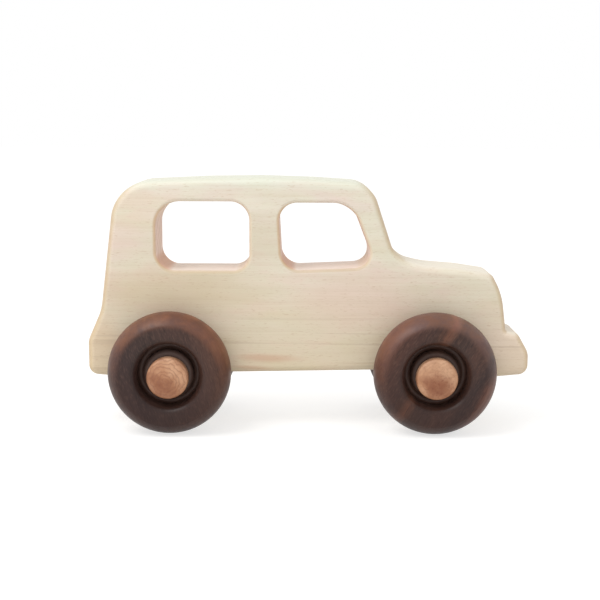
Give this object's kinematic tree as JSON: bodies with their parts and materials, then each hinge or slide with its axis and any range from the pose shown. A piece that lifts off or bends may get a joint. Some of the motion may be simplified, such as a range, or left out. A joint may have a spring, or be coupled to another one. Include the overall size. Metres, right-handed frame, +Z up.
{
  "type": "wooden toy car",
  "caption": "Push-along wooden toy car: a sawn board body with open windows and rounded edges, rolling on turned wheels that spin on headed axle pegs.",
  "frame": {"origin": "on the ground under the middle of the car's length and width", "axes": "+X forward out of the bumper, +Y to the car's left, +Z up"},
  "size_m": [0.1388, 0.0488, 0.0787],
  "materials": {
    "maple": "sanded and oiled",
    "walnut": "turned, sanded and oiled",
    "cherry": "turned and oiled"
  },
  "bodies": {
    "chassis": {"car_body": "maple", "front_right_axle_peg": "cherry", "front_left_axle_peg": "cherry", "rear_right_axle_peg": "cherry", "rear_left_axle_peg": "cherry"},
    "front_right": {"front_right_wheel": "walnut"},
    "front_left": {"front_left_wheel": "walnut"},
    "rear_right": {"rear_right_wheel": "walnut"},
    "rear_left": {"rear_left_wheel": "walnut"}
  },
  "joints": [
    {"name": "front_right_wheel_spin", "type": "hinge", "parent": "chassis", "child": "front_right", "pos_m": [0.03905, -0.01667, 0.01905], "axis": [0, 1, 0], "continuous": true},
    {"name": "front_left_wheel_spin", "type": "hinge", "parent": "chassis", "child": "front_left", "pos_m": [0.03905, 0.01667, 0.01905], "axis": [0, 1, 0], "continuous": true},
    {"name": "rear_right_wheel_spin", "type": "hinge", "parent": "chassis", "child": "rear_right", "pos_m": [-0.04295, -0.01667, 0.01905], "axis": [0, 1, 0], "continuous": true},
    {"name": "rear_left_wheel_spin", "type": "hinge", "parent": "chassis", "child": "rear_left", "pos_m": [-0.04295, 0.01667, 0.01905], "axis": [0, 1, 0], "continuous": true}
  ]
}
